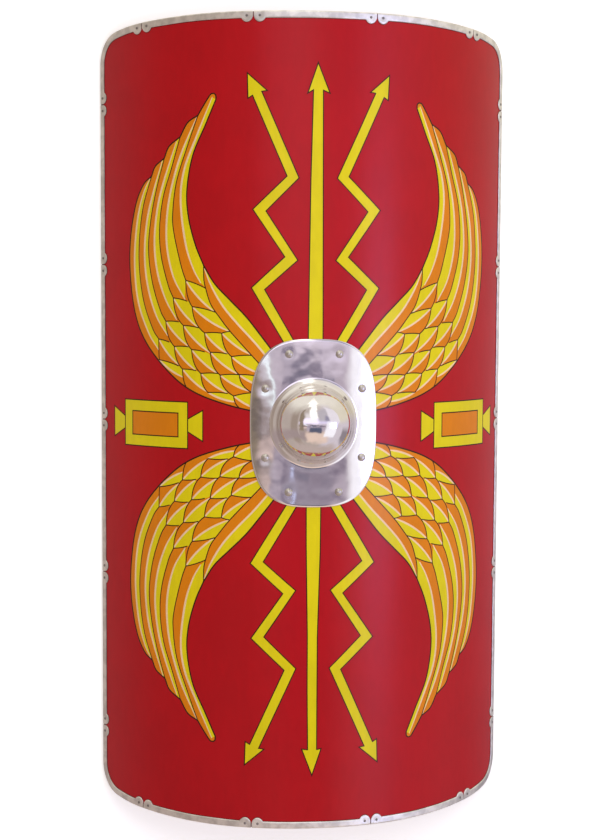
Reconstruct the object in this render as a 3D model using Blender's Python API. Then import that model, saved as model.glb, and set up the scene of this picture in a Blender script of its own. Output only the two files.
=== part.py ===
# Roman scutum, lying on its two long edges with the boss up.
# +Y runs to the shield's top edge, +Z out of its painted front at the middle line.
#
# The board is part of a cylinder, so every sheet piece is first built flat and then
# wrapped. Flat places are u (across), v (along) and w (out of the board's front face).

import bpy
import bmesh
from collections import namedtuple
from math import cos, floor, pi, radians, sin, sqrt, tan
from mathutils import Vector
from mathutils.geometry import delaunay_2d_cdt

# Driving sizes, in metres and degrees
SHIELD_LENGTH = 1.060
FRONT_RADIUS = 0.325
HALF_SWEEP = 1.0              # radians round the front from the middle line to a long edge
COLUMNS = 20                  # flat facets from the middle line to a long edge
BOARD_THICKNESS = 0.008
END_FLAT = 0.080              # the top and bottom edges are straight this far from the middle
END_BENDS = ((1.86, 5), (0.36, 8))    # then bow: radius and degrees turned, up to the corner
BEND_STEPS = (3, 2, 6)        # flat lengths drawn for each bend, the corner last
GAP = 0.0003                  # between pieces that touch

BINDING_SHEET = 0.001
BINDING_LEG = 0.009
LOBE_RADIUS = 0.0078
LOBE_REACH = 0.0138
JOINT_SLIT = 0.0012
END_JOINTS = (0.080, 0.241)   # binding joints on the top and bottom edge, from the middle
SIDE_JOINTS = (0.209, 0.422)  # binding joints on the long edges, besides the middle one
BINDING_NAMES = (
    "top_3", "corner_top_right", "right_1", "right_2", "right_3", "right_4",
    "corner_bottom_right", "bottom_3", "bottom_2", "bottom_1", "corner_bottom_left",
    "left_4", "left_3", "left_2", "left_1", "corner_top_left", "top_1", "top_2",
)

BOSS_V = 0.005                # the boss sits a little above the board's middle
BOSS_HALF_WIDTH = 0.083
BOSS_HALF_LENGTH = 0.109
BOSS_OUTLINE_POWER = 3.0
BOSS_OUTLINE_SIDES = 48
BOSS_SHEET = 0.0015
DOME_HEIGHT = 0.041
CAP_RADIUS = 0.077
CAP_TILT = 18.5               # degrees, where the flatter cap meets the round shoulder
SHOULDER_RADIUS = 0.0335
WALL_TILT = 75
FLARE_RADIUS = 0.0169         # the wall flares out again towards the flange
FOOT_TILT = 22                # and meets it at a crease
DOME_SIDES = 28
HAND_HOLE_RADIUS = 0.050

RIVET_PLACES = ((0.0326, 0.0894), (0.063, 0.0448))   # in each quarter, from the boss middle
RIVET_HEAD_RADIUS = 0.0052
RIVET_HEAD_HEIGHT = 0.0032
RIVET_SHANK_RADIUS = 0.0025
RIVET_HOLE_RADIUS = 0.0029
RIVET_TAIL_RADIUS = 0.0042
RIVET_TAIL_FLAT_RADIUS = 0.0032
RIVET_TAIL_HEIGHT = 0.0014
ROUND_SIDES = 12

GRIP_DROP = 0.047             # from the inner face at the middle line to the grip's underside
GRIP_FOOT_START = 5           # the feet start and end on these board facets
GRIP_FOOT_END = 8
GRIP_FOOT_WIDTH = 0.036
GRIP_BAR_WIDTH = 0.030
GRIP_BAR_DEPTH = 0.026
GRIP_BAR_HALF_LENGTH = 0.052
GRIP_SWELL = 0.001            # the bar is this much fuller each way at its middle
GRIP_SWELL_END = 0.025
GRIP_SHOULDER_RUN = 0.012     # from the shoulder to where the foot starts
GRIP_SHOULDER_RISE = 0.003
GRIP_BAR_RADIUS = 0.012
GRIP_SHOULDER_RADIUS = 0.009
GRIP_FOOT_RADIUS = 0.005
SCREW_PLACE = (0.103, 0.010)  # from the grip's middle
SCREW_SHANK_RADIUS = 0.002
SCREW_HOLE_RADIUS = 0.0024
SCREW_HEAD_RADIUS = 0.0042
SCREW_HEAD_SHOULDER = (0.0034, 0.0013)   # radius and height where the domed head turns in
SCREW_HEAD_FLAT_RADIUS = 0.0015
SCREW_HEAD_HEIGHT = 0.0018
SCREW_TIP_RADIUS = 0.001
SCREW_BITE = 0.0045           # how far a screw goes into the board

MERGE_DISTANCE = 1e-6

# Sizes that follow from them
COLUMN_ANGLE = HALF_SWEEP / COLUMNS
COLUMN_WIDTH = FRONT_RADIUS * COLUMN_ANGLE
HALF_ARC = FRONT_RADIUS * HALF_SWEEP
HALF_LENGTH = SHIELD_LENGTH / 2
INNER_RADIUS = FRONT_RADIUS - BOARD_THICKNESS
LOWEST_RADIUS = INNER_RADIUS - GAP - BINDING_SHEET
AXIS_Z = -LOWEST_RADIUS * cos(HALF_SWEEP)
BOARD_INSET = BINDING_SHEET + GAP
FLANGE_TOP = GAP + BOSS_SHEET
GRIP_UNDER_Z = AXIS_Z + INNER_RADIUS - GRIP_DROP

Finish = namedtuple("Finish", "colour roughness metallic")
FINISHES = {
    "painted_board": Finish((0.46, 0.012, 0.016), 0.42, 0.0),
    "boss_steel": Finish((0.76, 0.75, 0.77), 0.10, 1.0),
    "rivet_steel": Finish((0.62, 0.60, 0.58), 0.28, 1.0),
    "binding_metal": Finish((0.55, 0.52, 0.48), 0.38, 1.0),
    "grip_wood": Finish((0.34, 0.20, 0.10), 0.60, 0.0),
    "screw_steel": Finish((0.45, 0.43, 0.41), 0.35, 1.0),
}


# ---- scene, materials and finished objects

def clear_scene():
    for item in list(bpy.data.objects):
        bpy.data.objects.remove(item, do_unlink=True)


def material(name):
    found = bpy.data.materials.get(name)
    if found:
        return found
    made = bpy.data.materials.new(name)
    made.use_nodes = True
    shader = made.node_tree.nodes["Principled BSDF"]
    finish = FINISHES[name]
    shader.inputs["Base Color"].default_value = (*finish.colour, 1.0)
    shader.inputs["Roughness"].default_value = finish.roughness
    shader.inputs["Metallic"].default_value = finish.metallic
    return made


def finished_object(name, bm, finish, smooth_angle=35):
    """Turns a closed bmesh into a named object with its faces pointing out."""
    bmesh.ops.recalc_face_normals(bm, faces=bm.faces)
    mesh = bpy.data.meshes.new(name)
    bm.to_mesh(mesh)
    bm.free()
    mesh.shade_smooth()
    mesh.set_sharp_from_angle(angle=radians(smooth_angle))
    mesh.materials.append(material(finish))
    made = bpy.data.objects.new(name, mesh)
    bpy.context.collection.objects.link(made)
    return made


# ---- flat work and wrapping

def wrapped(place):
    """Where a flat place lands on the faceted cylinder."""
    column = min(max(floor(place.x / COLUMN_WIDTH), -COLUMNS), COLUMNS - 1)
    share = place.x / COLUMN_WIDTH - column
    near = column * COLUMN_ANGLE
    far = near + COLUMN_ANGLE
    radius = FRONT_RADIUS + place.z
    x = radius * ((1 - share) * sin(near) + share * sin(far))
    z = radius * ((1 - share) * cos(near) + share * cos(far))
    return Vector((x, place.y, AXIS_Z + z))


def slice_columns(bm):
    """Cuts flat work along the facet lines, so that it bends only there."""
    for column in range(1 - COLUMNS, COLUMNS):
        everything = bm.verts[:] + bm.edges[:] + bm.faces[:]
        line = (column * COLUMN_WIDTH, 0, 0)
        bmesh.ops.bisect_plane(bm, geom=everything, dist=MERGE_DISTANCE, plane_co=line,
                               plane_no=(1, 0, 0))


def join_flat_faces(bm):
    nearly_flat = radians(0.3)
    bm.normal_update()
    bmesh.ops.dissolve_limit(bm, angle_limit=nearly_flat, verts=bm.verts[:], edges=bm.edges[:])


def ring(centre, radius, sides):
    turns = [2 * pi * (side + 0.5) / sides for side in range(sides)]
    return [(centre[0] + radius * cos(turn), centre[1] + radius * sin(turn)) for turn in turns]


def inside(place, loop):
    """True where a flat place lies inside a closed loop."""
    crossings = 0
    for (u0, v0), (u1, v1) in zip(loop, loop[1:] + loop[:1]):
        if (v0 > place.y) != (v1 > place.y):
            crossings += place.x < u0 + (place.y - v0) / (v1 - v0) * (u1 - u0)
    return crossings % 2 == 1


def flat_sheet(outline, holes):
    """Flat triangles filling an outline around its holes, with edges along the facet lines."""
    places = []
    edges = []
    for loop in [outline] + holes:
        first = len(places)
        places += [Vector(place) for place in loop]
        edges += [(first + i, first + (i + 1) % len(loop)) for i in range(len(loop))]
    reach = max(u for u, v in outline)
    for column in range(1 - COLUMNS, COLUMNS):
        u = column * COLUMN_WIDTH
        if abs(u) < reach:
            edges.append((len(places), len(places) + 1))
            places += [Vector((u, -HALF_LENGTH)), Vector((u, HALF_LENGTH))]
    corners, _, triangles, *_ = delaunay_2d_cdt(places, edges, [], 0, MERGE_DISTANCE)
    bm = bmesh.new()
    verts = [bm.verts.new((place.x, place.y, 0)) for place in corners]
    for triangle in triangles:
        middle = sum((corners[i] for i in triangle), Vector((0, 0))) / 3
        if inside(middle, outline) and not any(inside(middle, hole) for hole in holes):
            bm.faces.new([verts[i] for i in triangle])
    bmesh.ops.delete(bm, geom=[vert for vert in verts if not vert.link_faces], context="VERTS")
    return bm


def thicken(bm, top, thickness):
    """Turns flat faces into a closed plate between w = top - thickness and w = top."""
    rim = [edge for edge in bm.edges if edge.is_boundary]
    copy = bmesh.ops.duplicate(bm, geom=bm.faces[:])
    lower = [item for item in copy["geom"] if isinstance(item, bmesh.types.BMVert)]
    for vert in bm.verts:
        vert.co.z = top
    for vert in lower:
        vert.co.z = top - thickness
    below = copy["vert_map"]
    for edge in rim:
        first, second = edge.verts
        bm.faces.new((first, second, below[second], below[first]))


def rivet_places():
    """Flat places of the boss rivets, one for each quarter and row."""
    signs = ((-1, 1), (1, 1), (-1, -1), (1, -1))
    return [(across * u, BOSS_V + along * v) for across, along in signs for u, v in RIVET_PLACES]


# ---- the outline, walked clockwise from the middle of the top edge

Bend = namedtuple("Bend", "run u v turned radius sweep")


def quarter_bends():
    """The arcs from the straight middle of an end to a long edge, the corner last."""
    sweeps = [(radius, radians(sweep)) for radius, sweep in END_BENDS]
    bowed = sum(sweep for radius, sweep in sweeps)
    bends = []
    run, u, v, turned = END_FLAT, END_FLAT, HALF_LENGTH, 0
    for radius, sweep in sweeps + [(None, pi / 2 - bowed)]:
        radius = radius or (HALF_ARC - u) / (1 - sin(turned))
        bends.append(Bend(run, u, v, turned, radius, sweep))
        run += radius * sweep
        u += radius * (sin(turned + sweep) - sin(turned))
        v -= radius * (cos(turned) - cos(turned + sweep))
        turned += sweep
    return bends


def bend_place(bend, along):
    """The flat place at a length along a bend, and the direction inwards."""
    turn = bend.turned + along / bend.radius
    u = bend.u + bend.radius * (sin(turn) - sin(bend.turned))
    v = bend.v - bend.radius * (cos(bend.turned) - cos(turn))
    return (u, v), (-sin(turn), -cos(turn))


BENDS = quarter_bends()
CORNER_END = BENDS[-1].run + BENDS[-1].radius * BENDS[-1].sweep
LAP = 4 * (CORNER_END + bend_place(BENDS[-1], CORNER_END - BENDS[-1].run)[0][1])


def outline_place(run):
    """The outline's flat place and inward direction after a run from the top's middle."""
    run %= LAP
    mirrored = run > LAP / 2
    run = min(run, LAP - run)
    lower = run > LAP / 4
    run = min(run, LAP / 2 - run)
    if run <= END_FLAT:
        place, inward = (run, HALF_LENGTH), (0, -1)
    elif run >= CORNER_END:
        place, inward = (HALF_ARC, LAP / 4 - run), (-1, 0)
    else:
        bend = [bend for bend in BENDS if bend.run <= run][-1]
        place, inward = bend_place(bend, run - bend.run)
    flip = Vector((-1 if mirrored else 1, -1 if lower else 1))
    return Vector(place) * flip, Vector(inward) * flip


def turning_runs():
    """Runs, once round, at which the outline's bends are drawn as corners of a polygon."""
    quarter = []
    for bend, steps in zip(BENDS, BEND_STEPS):
        quarter += [bend.run + bend.radius * bend.sweep * step / steps for step in range(steps)]
    quarter.append(CORNER_END)
    right = quarter + [LAP / 2 - run for run in reversed(quarter)]
    return right + [LAP - run for run in reversed(right)]


def board_outline():
    """The board's edge in flat places, anticlockwise, just inside the binding's folds."""
    points = []
    for run in reversed(turning_runs()):
        edge, inward = outline_place(run)
        points.append(tuple(edge + inward * BOARD_INSET))
    return points


# ---- board

def make_board():
    holes = [ring((0, BOSS_V), HAND_HOLE_RADIUS, DOME_SIDES)]
    holes += [ring(place, RIVET_HOLE_RADIUS, ROUND_SIDES) for place in rivet_places()]
    bm = flat_sheet(board_outline(), holes)
    thicken(bm, 0, BOARD_THICKNESS)
    for vert in bm.verts:
        vert.co = wrapped(vert.co)
    join_flat_faces(bm)
    bmesh.ops.triangulate(bm, faces=bm.faces)
    return finished_object("board", bm, "painted_board")


# ---- boss: one pressed plate, a hollow dome on a flange that follows the board

Station = namedtuple("Station", "radius height tilt")


def arc_tilts(start, end, steps):
    return [radians(start + (end - start) * step / steps) for step in range(steps + 1)]


def dome_profile():
    """Stations down the outside of the dome, from near its top to its foot on the flange."""
    stations = []
    for tilt in arc_tilts(5, CAP_TILT, 2):
        height = DOME_HEIGHT - CAP_RADIUS * (1 - cos(tilt))
        stations.append(Station(CAP_RADIUS * sin(tilt), height, tilt))
    cap = stations[-1]
    for tilt in arc_tilts(CAP_TILT, WALL_TILT, 4)[1:]:
        radius = cap.radius + SHOULDER_RADIUS * (sin(tilt) - sin(cap.tilt))
        height = cap.height - SHOULDER_RADIUS * (cos(cap.tilt) - cos(tilt))
        stations.append(Station(radius, height, tilt))
    shoulder = stations[-1]
    foot_tilt = radians(FOOT_TILT)
    flare_top = FLARE_RADIUS * (cos(foot_tilt) - cos(shoulder.tilt))
    wall_run = (shoulder.height - flare_top) / tan(shoulder.tilt)
    flare_start = shoulder.radius + wall_run + FLARE_RADIUS * sin(shoulder.tilt)
    for tilt in arc_tilts(WALL_TILT, FOOT_TILT, 2):
        height = FLARE_RADIUS * (cos(foot_tilt) - cos(tilt))
        stations.append(Station(flare_start - FLARE_RADIUS * sin(tilt), height, tilt))
    return stations


def boss_outline():
    """A rounded rectangle with bulging sides, as a superellipse."""
    points = []
    for side in range(BOSS_OUTLINE_SIDES):
        turn = 2 * pi * side / BOSS_OUTLINE_SIDES
        reach = abs(cos(turn)) ** BOSS_OUTLINE_POWER + abs(sin(turn)) ** BOSS_OUTLINE_POWER
        reach **= -1 / BOSS_OUTLINE_POWER
        u = BOSS_HALF_WIDTH * reach * cos(turn)
        points.append((u, BOSS_V + BOSS_HALF_LENGTH * reach * sin(turn)))
    return points


def from_boss_middle(place):
    return Vector((place.x, place.y - BOSS_V))


def add_dome_rings(bm, profile):
    """Fills the flange's round hole with flat rings, one for each station of the dome."""
    foot = profile[-1].radius
    rim = [edge for edge in bm.edges if edge.is_boundary
           and all(from_boss_middle(vert.co).length < foot + GAP for vert in edge.verts)]
    for station in reversed(profile[:-1]):
        grown = bmesh.ops.extrude_edge_only(bm, edges=rim)["geom"]
        rim = [item for item in grown if isinstance(item, bmesh.types.BMEdge)]
        for vert in {vert for edge in rim for vert in edge.verts}:
            inward = from_boss_middle(vert.co).normalized() * station.radius
            vert.co.xy = (inward.x, BOSS_V + inward.y)
    bmesh.ops.edgeloop_fill(bm, edges=rim)


def pressed(place, profile):
    """Where a flat place of the boss lands once the dome is raised."""
    out = from_boss_middle(place)
    foot = profile[-1]
    if out.length > foot.radius - MERGE_DISTANCE:
        return wrapped(place)
    station = min(profile, key=lambda each: abs(each.radius - out.length))
    depth = FLANGE_TOP - place.z
    direction = out.normalized()
    foot_place = direction * foot.radius
    foot_point = wrapped(Vector((foot_place.x, foot_place.y, FLANGE_TOP)))
    shrink = (station.radius - depth * sin(station.tilt)) / foot.radius
    level_z = AXIS_Z + FRONT_RADIUS + FLANGE_TOP
    wall_top = max(each.height for each in profile if each.tilt >= radians(WALL_TILT))
    rise = min(station.height / wall_top, 1)
    z = foot_point.z + (level_z - foot_point.z) * rise + station.height - depth * cos(station.tilt)
    return Vector((foot_point.x * shrink, BOSS_V + foot_point.y * shrink, z))


def make_boss():
    profile = dome_profile()
    holes = [ring((0, BOSS_V), profile[-1].radius, DOME_SIDES)]
    holes += [ring(place, RIVET_HOLE_RADIUS, ROUND_SIDES) for place in rivet_places()]
    bm = flat_sheet(boss_outline(), holes)
    add_dome_rings(bm, profile)
    thicken(bm, FLANGE_TOP, BOSS_SHEET)
    for vert in bm.verts:
        vert.co = pressed(vert.co, profile)
    join_flat_faces(bm)
    return finished_object("boss", bm, "boss_steel")


# ---- turned and lofted pieces

def turned(profile, centre, sides):
    """Spins a list of (radius, height) places, both ends on the axis, round a standing axis."""
    bm = bmesh.new()
    verts = [bm.verts.new((centre[0] + radius, centre[1], height)) for radius, height in profile]
    edges = [bm.edges.new(pair) for pair in zip(verts, verts[1:])]
    bmesh.ops.spin(bm, geom=verts + edges, cent=(*centre, 0), axis=(0, 0, 1), angle=2 * pi,
                   steps=sides, use_merge=True)
    bmesh.ops.remove_doubles(bm, verts=bm.verts, dist=MERGE_DISTANCE)
    return bm


def lofted(rings):
    """Joins rings of equally many places into a closed body with flat ends."""
    bm = bmesh.new()
    loops = [[bm.verts.new(place) for place in places] for places in rings]
    count = len(loops[0])
    for near, far in zip(loops, loops[1:]):
        for i in range(count):
            bm.faces.new((near[i - 1], near[i], far[i], far[i - 1]))
    bm.faces.new(loops[0])
    bm.faces.new(reversed(loops[-1]))
    return bm


def make_rivet(name, place):
    """A domed rivet through flange and board, its tail hammered flat at the back."""
    under = FLANGE_TOP + GAP
    back = -BOARD_THICKNESS - GAP
    profile = []
    for tilt in arc_tilts(0, 90, 3):
        profile.append((RIVET_HEAD_RADIUS * sin(tilt), under + RIVET_HEAD_HEIGHT * cos(tilt)))
    profile += [
        (RIVET_SHANK_RADIUS, under),
        (RIVET_SHANK_RADIUS, back),
        (RIVET_TAIL_RADIUS, back),
        (RIVET_TAIL_FLAT_RADIUS, back - RIVET_TAIL_HEIGHT),
        (0, back - RIVET_TAIL_HEIGHT),
    ]
    bm = turned(profile, place, ROUND_SIDES)
    for vert in bm.verts:
        vert.co = wrapped(vert.co)
    return finished_object(name, bm, "rivet_steel")


# ---- edge binding: folded sheet over the board's edge, with a nail lobe at each end

def lobe_depth(distance):
    """How far a binding leg reaches in at a distance from the nearer end of its piece."""
    middle_depth = LOBE_REACH - LOBE_RADIUS
    off_middle = distance - LOBE_RADIUS
    if abs(off_middle) >= LOBE_RADIUS:
        return BINDING_LEG if off_middle > 0 else middle_depth
    depth = middle_depth + sqrt(LOBE_RADIUS ** 2 - off_middle ** 2)
    return max(depth, BINDING_LEG) if off_middle > 0 else depth


def lobe_stations():
    """Distances from a piece's end that draw the lobe: its arc, then where it meets the leg."""
    arc = [LOBE_RADIUS * (1 - cos(turn)) for turn in (0, pi / 4, pi / 2, 3 * pi / 4)]
    meeting = LOBE_RADIUS + sqrt(LOBE_RADIUS ** 2 - (BINDING_LEG + LOBE_RADIUS - LOBE_REACH) ** 2)
    return arc + [meeting]


def binding_runs(start, end):
    """Runs at which a binding's section is drawn: both lobes and any bends between them."""
    runs = [start + distance for distance in lobe_stations()]
    runs += [end - distance for distance in lobe_stations()]
    near, far = start + 2 * LOBE_RADIUS, end - 2 * LOBE_RADIUS
    runs += [run for run in turning_runs() if near < run < far]
    return sorted(runs)


def make_binding(name, start, end):
    """A channel along the outline from run start to run end."""
    start += JOINT_SLIT / 2
    end -= JOINT_SLIT / 2
    front = GAP
    back = -BOARD_THICKNESS - GAP
    sections = []
    for run in binding_runs(start, end):
        edge, inward = outline_place(run)
        leg = lobe_depth(min(run - start, end - run))
        corners = [
            (leg, front + BINDING_SHEET), (0, front + BINDING_SHEET),
            (0, back - BINDING_SHEET), (leg, back - BINDING_SHEET),
            (leg, back), (BINDING_SHEET, back),
            (BINDING_SHEET, front), (leg, front),
        ]
        sections.append([(*(edge + inward * depth), w) for depth, w in corners])
    bm = lofted(sections)
    slice_columns(bm)
    for vert in bm.verts:
        vert.co = wrapped(vert.co)
    join_flat_faces(bm)
    return finished_object(name, bm, "binding_metal")


def make_bindings():
    """All binding pieces, clockwise from the one right of the top's middle piece."""
    inner, outer = END_JOINTS
    near, far = SIDE_JOINTS
    side_middle = LAP / 4
    joints = [inner, outer]
    joints += [side_middle + run for run in (-far, -near, 0, near, far)]
    joints += [LAP / 2 - outer, LAP / 2 - inner]
    joints += [LAP - run for run in reversed(joints)]
    joints.append(LAP + inner)
    for name, start, end in zip(BINDING_NAMES, joints, joints[1:]):
        make_binding("binding_" + name, start, end)


# ---- grip: a carved bar across the hand hole, its feet fitted to the board's inner face

def inner_face_z(angle):
    return AXIS_Z + INNER_RADIUS * cos(angle)


def grip_section(x, half_width, top, radius):
    """A rounded rectangle standing across the bar, from the underside up to top."""
    steps = 2
    low, high = GRIP_UNDER_Z + radius, top - radius
    inset = half_width - radius
    places = []
    for quarter, (y, z) in enumerate(((inset, high), (-inset, high), (-inset, low), (inset, low))):
        for step in range(steps + 1):
            turn = pi / 2 * (quarter + step / steps)
            places.append((x, BOSS_V + y + radius * cos(turn), z + radius * sin(turn)))
    return places


def grip_half():
    """Sections from the grip's middle to its right end."""
    bar_top = GRIP_UNDER_Z + GRIP_BAR_DEPTH
    bar_half, foot_half = GRIP_BAR_WIDTH / 2, GRIP_FOOT_WIDTH / 2
    shoulder_x = INNER_RADIUS * sin(GRIP_FOOT_START * COLUMN_ANGLE) - GRIP_SHOULDER_RUN
    shoulder_half = (bar_half + foot_half) / 2
    shoulder_top = bar_top + GRIP_SHOULDER_RISE
    sections = [
        grip_section(0, bar_half + GRIP_SWELL, bar_top + GRIP_SWELL, GRIP_BAR_RADIUS),
        grip_section(GRIP_SWELL_END, bar_half, bar_top, GRIP_BAR_RADIUS),
        grip_section(GRIP_BAR_HALF_LENGTH, bar_half, bar_top, GRIP_BAR_RADIUS),
        grip_section(shoulder_x, shoulder_half, shoulder_top, GRIP_SHOULDER_RADIUS),
    ]
    for column in range(GRIP_FOOT_START, GRIP_FOOT_END + 1):
        angle = column * COLUMN_ANGLE
        top = inner_face_z(angle) - GAP
        x = INNER_RADIUS * sin(angle)
        sections.append(grip_section(x, foot_half, top, GRIP_FOOT_RADIUS))
    return sections


def mirrored_section(places):
    return [(-x, y, z) for x, y, z in places]


def make_grip():
    right = grip_half()
    left = [mirrored_section(places) for places in reversed(right[1:])]
    bm = lofted(left + right)
    return finished_object("grip", bm, "grip_wood")


def screw_places():
    x, y = SCREW_PLACE
    return [(-x, BOSS_V + y), (x, BOSS_V + y), (-x, BOSS_V - y), (x, BOSS_V - y)]


def screw_tip_z(x):
    return AXIS_Z + sqrt(INNER_RADIUS ** 2 - x ** 2) + SCREW_BITE


def make_screw(name, place):
    """A domed screw, driven from behind through a grip foot into the board."""
    under = GRIP_UNDER_Z - GAP
    tip = screw_tip_z(place[0])
    profile = [
        (0, tip),
        (SCREW_TIP_RADIUS, tip),
        (SCREW_SHANK_RADIUS, tip - SCREW_SHANK_RADIUS),
        (SCREW_SHANK_RADIUS, under),
        (SCREW_HEAD_RADIUS, under),
        (SCREW_HEAD_SHOULDER[0], under - SCREW_HEAD_SHOULDER[1]),
        (SCREW_HEAD_FLAT_RADIUS, under - SCREW_HEAD_HEIGHT),
        (0, under - SCREW_HEAD_HEIGHT),
    ]
    return finished_object(name, turned(profile, place, ROUND_SIDES), "screw_steel")


def make_screw_cutter(name, place):
    """Cuts a screw's hole through the grip foot and part way into the board."""
    top = screw_tip_z(place[0]) + GAP
    bottom = GRIP_UNDER_Z - SCREW_HEAD_HEIGHT
    profile = [(0, top), (SCREW_HOLE_RADIUS, top), (SCREW_HOLE_RADIUS, bottom), (0, bottom)]
    cutter = finished_object(name, turned(profile, place, ROUND_SIDES), "screw_steel")
    cutter.hide_render = True
    cutter.display_type = "WIRE"
    return cutter


def cut_holes(target, cutters):
    for cutter in cutters:
        cut = target.modifiers.new(cutter.name, "BOOLEAN")
        cut.operation = "DIFFERENCE"
        cut.solver = "EXACT"
        cut.object = cutter


def main():
    clear_scene()
    board = make_board()
    make_boss()
    for number, place in enumerate(rivet_places(), 1):
        make_rivet(f"boss_rivet_{number}", place)
    make_bindings()
    grip = make_grip()
    cutters = []
    for number, place in enumerate(screw_places(), 1):
        make_screw(f"grip_screw_{number}", place)
        cutters.append(make_screw_cutter(f"screw_cutter_{number}", place))
    cut_holes(board, cutters)
    cut_holes(grip, cutters)


main()
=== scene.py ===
# Finishes a Roman scutum that lies on its long edges, boss up, its top edge towards +Y.
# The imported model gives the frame, and every piece below is made in the same metres.
#
# The board is part of a cylinder, so most places are given flat first: u across,
# v along and w out of the painted face. wrap() bends them onto the board.

from math import asin, ceil, cos, exp, pi, radians, sin, sqrt, tan

import bmesh
import bpy
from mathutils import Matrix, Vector, noise
from mathutils.geometry import delaunay_2d_cdt


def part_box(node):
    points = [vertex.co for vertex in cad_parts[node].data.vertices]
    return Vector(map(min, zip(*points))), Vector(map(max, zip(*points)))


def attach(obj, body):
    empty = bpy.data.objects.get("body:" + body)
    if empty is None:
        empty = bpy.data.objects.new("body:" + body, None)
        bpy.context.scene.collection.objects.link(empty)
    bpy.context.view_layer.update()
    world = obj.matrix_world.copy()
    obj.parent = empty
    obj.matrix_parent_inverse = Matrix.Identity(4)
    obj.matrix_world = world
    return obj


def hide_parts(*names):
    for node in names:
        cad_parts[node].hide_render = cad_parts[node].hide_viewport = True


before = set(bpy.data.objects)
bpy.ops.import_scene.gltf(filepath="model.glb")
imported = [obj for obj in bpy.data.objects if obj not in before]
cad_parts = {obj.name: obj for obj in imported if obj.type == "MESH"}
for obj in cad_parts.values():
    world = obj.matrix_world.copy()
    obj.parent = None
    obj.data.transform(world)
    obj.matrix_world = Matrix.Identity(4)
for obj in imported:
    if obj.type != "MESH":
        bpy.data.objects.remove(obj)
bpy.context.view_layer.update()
mm = 0.001

shield = {
    "length": 1.060,
    "frontRadius": 0.325,
    "halfSweep": 1.0,         # radians round the front, from the middle line to a long edge
    "thickness": 0.008,
    "endFlat": 0.080,         # the ends are straight this far from the middle
    "endBends": ((1.86, 5), (0.36, 8)),    # then bow: radius and degrees, up to the corner
    "bendSteps": (6, 4, 12),  # points drawn along each bend and round the corner
    "edgeInset": 0.0013,      # the board stops this far inside the binding's outer face
    "columnTurn": 0.025,      # radians between the cuts that let a flat sheet bend
    "gap": 0.0003,            # between pieces that touch
    "middleV": 0.005,         # the boss, grip and hand hole sit a little above the middle
    "handHole": 0.050, "handHoleSides": 48,
}
frontRadius = shield["frontRadius"]
halfArc = frontRadius * shield["halfSweep"]
halfLength = shield["length"] / 2
middleV = shield["middleV"]
gap = shield["gap"]
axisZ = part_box("board")[1].z - frontRadius


# Shader maths: a Wire is one output of a node tree, so sums read as plain Python

class Wire:
    def __init__(self, tree, socket):
        self.tree = tree
        self.socket = socket

    def maths(self, operation, *others):
        values = dict(zip(("Value", "Value_001", "Value_002"), (self, *others)))
        return self.tree.add("ShaderNodeMath", {"operation": operation}, values)

    def __add__(self, other):
        return self.maths("ADD", other)

    def __sub__(self, other):
        return self.maths("SUBTRACT", other)

    def __rsub__(self, other):
        return self.maths("MULTIPLY_ADD", -1.0, other)

    def __mul__(self, other):
        return self.maths("MULTIPLY", other)

    __radd__ = __add__
    __rmul__ = __mul__

    def step(self, low, high):
        ends = {"Value": self, "From Min": low, "From Max": high}
        return self.tree.add("ShaderNodeMapRange", {"interpolation_type": "SMOOTHSTEP"}, ends)

    def between(self, low, high, soft):
        return self.step(low - soft, low + soft) * (1 - self.step(high - soft, high + soft))

    def axis(self, name):
        return self.tree.add("ShaderNodeSeparateXYZ", {}, {"Vector": self}, "XYZ".index(name))

    def stretch(self, x, y, z):
        settings = {"operation": "MULTIPLY"}
        return self.tree.add(
            "ShaderNodeVectorMath", settings, {"Vector": self, "Vector_001": (x, y, z)})


class NodeTree:
    def __init__(self, tree):
        self.tree = tree
        tree.nodes.clear()

    def add(self, kind, settings, sockets, output=0):
        made = self.tree.nodes.new(kind)
        for name, value in settings.items():
            if name == "stops":
                ramp = made.color_ramp.elements
                for count, (place, colour) in enumerate(value):
                    element = ramp[count] if count < len(ramp) else ramp.new(place)
                    element.position, element.color = place, colour
            else:
                setattr(made, name, value)
        for name, value in sockets.items():
            target = next(each for each in made.inputs if name in (each.identifier, each.name))
            if isinstance(value, Wire):
                self.tree.links.new(value.socket, target)
            else:
                target.default_value = value
        return Wire(self, made.outputs[output]) if made.outputs else None

    def mix(self, factor, first, second):
        ends = {"Factor_Float": factor, "A_Color": first, "B_Color": second}
        return self.add("ShaderNodeMix", {"data_type": "RGBA"}, ends, 2)

    def cloud(self, place, size, detail=3.0):
        return self.add("ShaderNodeTexNoise", {}, {"Vector": place, "Scale": 1 / size, "Detail": detail})

    def bump(self, height, depth, strength=1.0):
        return self.add(
            "ShaderNodeBump", {}, {"Height": height, "Distance": depth, "Strength": strength})

    def place(self, kind=3):
        # 0 generated, 2 the mesh's own flat map, 3 object
        return self.add("ShaderNodeTexCoord", {}, {}, kind)


def screenColour(red, green, blue):
    # 0 to 255 as a screen shows it, to the linear values that shaders use
    parts = [value / 255 for value in (red, green, blue)]
    return (*[part / 12.92 if part < 0.04 else ((part + 0.055) / 1.055) ** 2.4 for part in parts], 1)


def newFinish(name, build):
    material = bpy.data.materials.new(name)
    material.use_nodes = True
    tree = NodeTree(material.node_tree)
    surface = tree.add("ShaderNodeBsdfPrincipled", {}, build(tree))
    tree.add("ShaderNodeOutputMaterial", {}, {"Surface": surface})
    return material


# Flat places, curves and closed bodies

def wrap(u, v, w=0.0):
    turn = u / frontRadius
    radius = frontRadius + w
    return Vector((radius * sin(turn), v, axisZ + radius * cos(turn)))


def outwards(place):
    return Vector((place.x, 0, place.z - axisZ)).normalized()


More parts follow.
